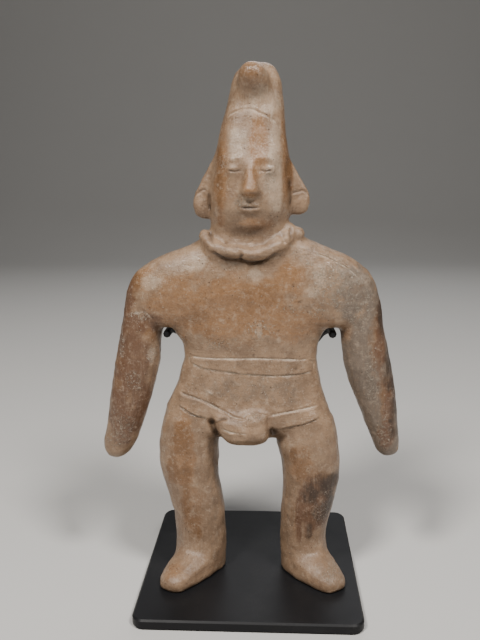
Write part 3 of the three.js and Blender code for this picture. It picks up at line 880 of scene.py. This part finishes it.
    def _soften(self, skin: Skin) -> None:
        """Evens out the solid's facets and smears its seams over.

        Args:
            skin: the skin.
        """
        weight = np.clip(1.0 - skin.weight_of(self.crisp), 0.02, 1.0)
        skin.smooth(5, 0.35 + 0.65 * weight)
        skin.fill_creases(70, weight)
        skin.fill_creases(3, np.ones_like(weight))
        skin.smooth(8, 0.15 + 0.85 * weight)

    def _refine(self, mesh: bpy.types.Mesh) -> None:
        """Splits the faces along the incised lines, so that the lines stay crisp.

        Args:
            mesh: the skin's mesh.
        """
        skin = self._skin(mesh)
        near = np.zeros(len(mesh.vertices), dtype=bool)
        for line in self._lines():
            near |= self._distance(skin, line)[0] < 3.0 * line.half_width
        work = bmesh.new()
        work.from_mesh(mesh)
        work.verts.ensure_lookup_table()
        edges = [e for e in work.edges if near[e.verts[0].index] and near[e.verts[1].index]]
        bmesh.ops.subdivide_edges(work, edges=edges, cuts=1, use_grid_fill=True)
        bmesh.ops.triangulate(work, faces=[f for f in work.faces if len(f.verts) > 4])
        work.to_mesh(mesh)
        work.free()
        mesh.update()

    def _distance(self, skin: Skin, line: Line) -> tuple[Values, Values, float]:
        """Measures how far each point is from a line on the figure's front.

        Args:
            skin: the skin.
            line: the line.

        Returns:
            The distance of each point, how far along the line it lies, and the line's length.
        """
        route = smooth_route(line.places)
        reach = 4.0 * line.half_width
        steps = np.linalg.norm(np.diff(route, axis=0), axis=1)
        covered = np.concatenate([[0.0], np.cumsum(steps)])
        far = 99.0
        distance = np.full(len(skin.points), far)
        along = np.zeros(len(skin.points))
        flat = skin.points[:, (0, 2)]
        low, high = route.min(axis=0) - reach, route.max(axis=0) + reach
        near_side = skin.points[:, 1] < 0.5
        chosen = np.flatnonzero(near_side & np.all((flat > low) & (flat < high), axis=1))
        if len(chosen):
            gaps = np.linalg.norm(flat[chosen, None, :] - route[None, :, :], axis=2)
            distance[chosen] = gaps.min(axis=1)
            along[chosen] = covered[gaps.argmin(axis=1)]
        return distance, along, float(covered[-1])

    def _shape_by_hand(self, skin: Skin) -> None:
        """Gives the even skin the slight swells, dents and bands of modelling by hand.

        Args:
            skin: the skin.
        """
        normals = skin.normals()
        swell = 0.16 * noise_at(skin.points, 9.0, 1.0)
        dents = 0.09 * noise_at(skin.points, 2.4, 2.0)
        standing = smooth_step(skin.points[:, 2], 0.2, 1.6)
        pinches = 0.17 * noise_at(skin.points, 1.3, 6.0) * skin.weight_of(self.lumpy)
        lump = 0.40 * skin.weight_of(self.swollen)
        skin.push((swell + dents + pinches + lump) * standing, normals)
        facing = smooth_step(-normals[:, 1], 0.1, 0.5)
        x, _, z = skin.points.T
        for band in self.bands:
            upper = np.interp(x, *np.array(band.upper).T)
            lower = np.interp(x, *np.array(band.lower).T)
            first, last = band.upper[0][0], band.upper[-1][0]
            inside = smooth_step(x - first, -band.fade, band.fade)
            inside *= smooth_step(last - x, -band.fade, band.fade)
            inside *= smooth_step(upper - z, -band.edge, band.edge)
            inside *= smooth_step(z - lower, -band.edge, band.edge)
            skin.push(band.height * inside * facing, normals)

    def _incise(self, skin: Skin) -> tuple[Values, Values]:
        """Cuts the incised lines and the seams.

        Args:
            skin: the skin.

        Returns:
            How much each point is bared by them, and how much it is darkened.
        """
        normals = skin.normals()
        facing = smooth_step(-normals[:, 1], 0.05, 0.35)
        inward = np.tile((0.0, -1.0, 0.0), (len(skin.points), 1))
        bared = np.zeros(len(skin.points))
        dark = np.zeros(len(skin.points))
        for line in self._lines():
            distance, along, length = self._distance(skin, line)
            ends = smooth_step(along, 0.0, 0.8) * smooth_step(length - along, 0.0, 0.8)
            waver = 0.85 + 0.2 * np.sin(1.7 * along + 5.0 * line.places[0][0])
            width = line.half_width * (0.9 + 0.15 * np.sin(1.1 * along))
            groove = np.exp(-((distance / width) ** 2))
            lip = np.exp(-(((distance - 2.0 * width) / width) ** 2))
            amount = (1.0 if line.straight_in else facing) * (0.15 + 0.85 * ends) * waver
            skin.push(
                amount * (line.lip * lip - line.depth * groove),
                inward if line.straight_in else normals,
            )
            bared = np.maximum(bared, line.bared * groove * amount)
            # Painted shade inside each dark seam and slit.
            if line.dark:
                dark = np.maximum(dark, groove * amount)
            if line.straight_in:
                skin.settle(6, np.exp(-((distance / (2.5 * width)) ** 2)))
        return bared, dark

    def _stain(self, skin: Skin, bared: Values, dark: Values) -> None:
        """Stores where each layer of colour, wear, painted shade and painted highlight lies on the skin.

        Args:
            skin: the skin.
            bared: how much each point is bared by the incised lines.
            dark: how much each point is darkened in the seams, as painted shade.
        """
        ragged = 0.30 * noise_at(skin.points, 3.2, 3.0, 3)
        # Painted shade in the skin's hollows, laid into one layer with the dark seams.
        hollow = smooth_step(skin.hollowness(1), 0.008, 0.05)
        found = {Mask.PITS_AND_SHADE: np.maximum(dark, 0.8 * hollow), Mask.INCISED: bared}
        for mask in Mask:
            spotted = skin.weight_of(self.stains.get(mask, ()), ragged)
            skin.keep(mask, np.maximum(spotted, found.get(mask, 0.0)))

    def _clay(self) -> bpy.types.Material:
        """Returns the layered material of the burnished, worn and stained clay, with its painted shade
        and highlights.
        """
        look = self.finish
        nodes = NodeTree("fired_clay")
        on_limbs = nodes.mask(Mask.LIMBS)
        mottle = nodes.noise(8.0, 4.0, 0.6)
        clouds = nodes.noise(2.6, 6.0, 0.75)
        blotch = nodes.blend(
            on_limbs,
            nodes.noise(3.2, 6.0, 0.70, distortion=0.4),
            nodes.noise(2.6, 6.0, 0.70, distortion=0.3, stretch=(1.0, 1.0, 3.0)),
        )
        fine = nodes.noise(0.8, 4.0, 0.7)
        across = nodes.noise(0.8, 3.0, 0.6, stretch=(9.0, 6.0, 1.0))
        lengthwise = nodes.noise(1.1, 3.0, 0.6, stretch=(1.0, 2.0, 8.0))
        strokes = nodes.blend(on_limbs, across, lengthwise)
        frayed = nodes.blend(nodes.product(on_limbs, 0.45), blotch, lengthwise)

        def worn(mask: Mask, low: float, high: float, breakup: float) -> Socket:
            """Returns a layer's amount, with its edges broken up by blotches and strokes."""
            ragged = nodes.product(nodes.sum(frayed, -0.5), breakup)
            return nodes.between(nodes.sum(nodes.mask(mask), ragged), low, high)

        def lay(amount: object, strength: float, colour: Colour) -> None:
            """Lays one more colour over what is there."""
            nonlocal surface
            surface = nodes.mix(nodes.product(amount, strength), surface, colour)

        burnished = worn(Mask.BURNISHED, 0.15, 0.85, 1.3)
        surface = nodes.mix(nodes.between(mottle, 0.36, 0.66), look.buff, look.dull_and_shade)
        lay(burnished, 0.85, look.burnished)
        # Painted shade on the legs and under the chin, laid with the dull clay spots.
        lay(worn(Mask.DULL_AND_SHADE, 0.10, 0.90, 0.9), 0.80, look.dull_and_shade)
        lay(nodes.product(burnished, nodes.between(clouds, 0.50, 0.62)), 0.40, look.umber)
        lay(worn(Mask.ASHEN, 0.20, 0.90, 1.3), 0.85, look.ashen)
        lay(worn(Mask.UMBER, 0.12, 0.75, 1.7), 0.85, look.umber)
        lay(worn(Mask.REDDENED, 0.05, 0.60, 1.1), 0.90, look.reddened)
        lay(nodes.between(strokes, 0.48, 0.36), 0.30, look.dull_and_shade)
        # Pale clay, with painted highlights on the shoulders and the forehead.
        lay(worn(Mask.PALE_AND_HIGHLIGHT, 0.20, 1.05, 1.5), 0.55, look.pale)
        lay(nodes.between(clouds, 0.48, 0.36), 0.28, look.pale)
        limb_streaks = nodes.product(nodes.between(lengthwise, 0.54, 0.70), on_limbs)
        lay(limb_streaks, 0.14, look.pale)
        soot = worn(Mask.SOOT, 0.20, 1.00, 1.5)
        lay(soot, 0.93, look.soot)
        crust = nodes.product(
            nodes.between(nodes.noise(1.0, 6.0, 0.85, distortion=0.3), 0.52, 0.60),
            worn(Mask.DEPOSIT, 0.30, 0.80, 1.0),
        )
        lay(crust, 0.66, look.fleck)
        haze = nodes.product(
            nodes.between(nodes.noise(1.6, 6.0, 0.8), 0.58, 0.68),
            nodes.between(nodes.noise(15.0, 3.0), 0.40, 0.60),
        )
        lay(haze, 0.35, look.fleck)
        lay(nodes.between(fine, 0.46, 0.30), 0.40, look.pits_and_shade)
        lay(nodes.between(fine, 0.56, 0.70), 0.22, look.pale)
        flecks = nodes.product(
            nodes.between(nodes.cells(1.7), 0.17, 0.08), nodes.between(blotch, 0.48, 0.56)
        )
        lay(flecks, 0.55, look.fleck)
        pits = nodes.product(
            nodes.between(nodes.cells(3.3), 0.10, 0.05), nodes.between(mottle, 0.44, 0.50)
        )
        lay(pits, 0.90, look.pits_and_shade)
        # Painted shade in the hollows, seams, crevices and armpits, laid with the dark pits.
        lay(nodes.mask(Mask.PITS_AND_SHADE), 0.82, look.pits_and_shade)
        bare = nodes.between(
            nodes.sum(nodes.mask(Mask.INCISED), nodes.product(fine, 0.9)), 0.62, 1.30
        )
        lay(bare, 0.70, look.fleck)
        nodes.feed(nodes.shader.inputs["Base Color"], surface)

        dryness = nodes.between(
            nodes.sum(
                nodes.product(blotch, 0.9),
                nodes.product(crust, 0.5),
                nodes.product(bare, 0.4),
                nodes.product(nodes.mask(Mask.BURNISHED), -0.15),
                nodes.product(nodes.mask(Mask.PALE_AND_HIGHLIGHT), -0.10),
            ),
            0.25,
            0.75,
        )
        nodes.feed(
            nodes.shader.inputs["Roughness"],
            nodes.blend(dryness, look.polish_roughness, look.dry_roughness),
        )
        nodes.shader.inputs["Specular IOR Level"].default_value = 0.45

        relief = nodes.relief(nodes.noise(4.5, 5.0, 0.65), 0.30)
        relief = nodes.relief(strokes, 0.12, relief)
        relief = nodes.relief(fine, 0.20, relief)
        relief = nodes.relief(
            nodes.sum(nodes.product(pits, -1.0), flecks, nodes.product(crust, 0.8)), 0.22, relief
        )
        nodes.feed(nodes.shader.inputs["Normal"], relief)
        return nodes.material


@dataclass
class DisplayStand:
    """The painted plate and its two bent rods.

    Attributes:
        nodes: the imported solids' names.
        edge: the width of the worn edge on the plate, in metres.
        finish: the paint's colours and gloss.
    """

    nodes: tuple[str, ...] = ("base_plate", "left_rod", "right_rod")
    edge: float = 0.0003
    finish: PaintFinish = PaintFinish()

    def build(self, frame: dict) -> None:
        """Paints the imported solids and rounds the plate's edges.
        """
        paint = self._paint()
        for name in self.nodes:
            solid = frame["nodes"][name]
            solid.data.materials.clear()
            solid.data.materials.append(paint)
            if name == "base_plate":
                bevel = solid.modifiers.new("eased_edge", "BEVEL")
                bevel.width = self.edge
                bevel.segments = 2
                bevel.limit_method = "ANGLE"
            LOG.info("%s: painted", name)

    def _paint(self) -> bpy.types.Material:
        """Returns the satin black paint with its faint grain and dust."""
        look = self.finish
        nodes = NodeTree("black_paint")
        dust = nodes.product(
            nodes.between(nodes.noise(22.0, 5.0, 0.65), 0.45, 0.75),
            nodes.between(nodes.noise(0.7, 2.0, 0.6), 0.35, 0.75),
        )
        colour = nodes.mix(nodes.product(dust, 0.35), look.colour, look.dust)
        nodes.feed(nodes.shader.inputs["Base Color"], colour)
        rough = nodes.sum(nodes.product(nodes.noise(6.0, 3.0), 0.10), look.roughness - 0.05)
        nodes.feed(nodes.shader.inputs["Roughness"], rough)
        nodes.shader.inputs["Specular IOR Level"].default_value = 0.18
        grain = nodes.relief(nodes.noise(0.5, 2.0, 0.6), 0.012)
        nodes.feed(nodes.shader.inputs["Normal"], grain)
        return nodes.material


@dataclass
class Studio:
    """The floor, the soft lights and the camera.

    Attributes:
        camera_place: where the camera stands, in metres.
        camera_down: how far the camera looks down, in degrees.
        camera_turn: how far it turns to the left, in degrees.
        camera_roll: how far it leans, in degrees.
        lens: its focal length, in millimetres.
        sensor: the width and height of its picture, in millimetres.
        floor_colour: the floor's colour, as linear light.
        lights: the soft lights.
        aim: the point that the lights face, in metres.
        room_colour: the colour of the even light in the room.
        room_strength: the strength of that light.
    """

    camera_place: Place = (0.01245, -0.3311, 0.2044)
    camera_down: float = 11.81
    camera_turn: float = 2.98
    camera_roll: float = -0.49
    lens: float = 38.475
    sensor: tuple[float, float] = (27.0, 36.0)
    floor_colour: Colour = (0.56, 0.55, 0.53)
    lights: tuple[SoftLight, ...] = (
        SoftLight("key_left", (-0.36, -0.58, 0.98), 0.24, 12.0, (1.0, 0.97, 0.93)),
        SoftLight("key_right", (0.42, -0.48, 0.98), 0.24, 10.5, (1.0, 0.97, 0.94)),
        SoftLight("back_soft", (0.10, 0.95, 0.95), 0.70, 3.0, (0.95, 0.97, 1.0)),
    )
    aim: Place = (0.0, 0.0, 0.14)
    room_colour: Colour = (0.80, 0.82, 0.86)
    room_strength: float = 0.07

    def build(self) -> None:
        """Makes the floor, the lights and the camera."""
        self._floor()
        self._world()
        for light in self.lights:
            self._light(light)
        self._camera()
        LOG.info("studio: %d lights", len(self.lights))

    def _floor(self) -> None:
        """Makes the pale floor, which sweeps up into a plain wall far behind."""
        turn = 0.9
        behind = 1.3
        before = -3.0
        top = 4.0
        arc = [math.radians(angle) for angle in range(0, 91, 6)]
        profile = [(before, 0.0)]
        profile += [(behind + turn * math.sin(a), turn * (1.0 - math.cos(a))) for a in arc]
        profile.append((behind + turn, top))
        half = 4.0
        below = -0.0002
        points = [(side, y, z + below) for y, z in profile for side in (-half, half)]
        faces = [(i, i + 1, i + 3, i + 2) for i in range(0, len(points) - 2, 2)]
        mesh = bpy.data.meshes.new("floor")
        mesh.from_pydata(points, [], faces)
        mesh.shade_smooth()
        nodes = NodeTree("pale_floor")
        shade = tuple(c * 0.97 for c in self.floor_colour)
        tone = nodes.mix(nodes.noise(160.0, 3.0), self.floor_colour, shade)
        nodes.feed(nodes.shader.inputs["Base Color"], tone)
        nodes.shader.inputs["Roughness"].default_value = 0.85
        mesh.materials.append(nodes.material)
        floor = bpy.data.objects.new("floor", mesh)
        bpy.context.collection.objects.link(floor)

    def _world(self) -> None:
        """Fills the room with an even, soft light."""
        world = bpy.data.worlds.new("studio")
        world.use_nodes = True
        background = world.node_tree.nodes["Background"]
        background.inputs["Color"].default_value = (*self.room_colour, 1.0)
        background.inputs["Strength"].default_value = self.room_strength
        bpy.context.scene.world = world

    def _light(self, light: SoftLight) -> None:
        """Makes one soft light that faces the figure.

        Args:
            light: its place, size, power and colour.
        """
        lamp = bpy.data.lights.new(light.name, "AREA")
        lamp.shape = "DISK"
        lamp.size = light.size
        lamp.energy = light.power
        lamp.color = light.colour
        stand = bpy.data.objects.new(light.name, lamp)
        stand.location = light.place
        way = Vector(self.aim) - Vector(light.place)
        stand.rotation_euler = way.to_track_quat("-Z", "Y").to_euler()
        bpy.context.collection.objects.link(stand)

    def _camera(self) -> None:
        """Makes the camera at the photograph's viewpoint."""
        lens = bpy.data.cameras.new("camera")
        lens.sensor_fit = "VERTICAL"
        lens.sensor_width, lens.sensor_height = self.sensor
        lens.lens = self.lens
        camera = bpy.data.objects.new("camera", lens)
        turn = Matrix.Rotation(math.radians(self.camera_turn), 4, "Z")
        tilt = Matrix.Rotation(math.radians(90.0 - self.camera_down), 4, "X")
        lean = Matrix.Rotation(math.radians(self.camera_roll), 4, "Z")
        camera.matrix_world = Matrix.Translation(self.camera_place) @ turn @ tilt @ lean
        bpy.context.collection.objects.link(camera)
        bpy.context.scene.camera = camera


def main() -> None:
    """Builds the dressed figurine in its studio."""
    logging.basicConfig(level=logging.INFO, format="%(name)s: %(message)s")
    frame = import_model()
    Studio().build()
    Figurine().build(frame)
    DisplayStand().build(frame)


if __name__ == "__main__":
    main()
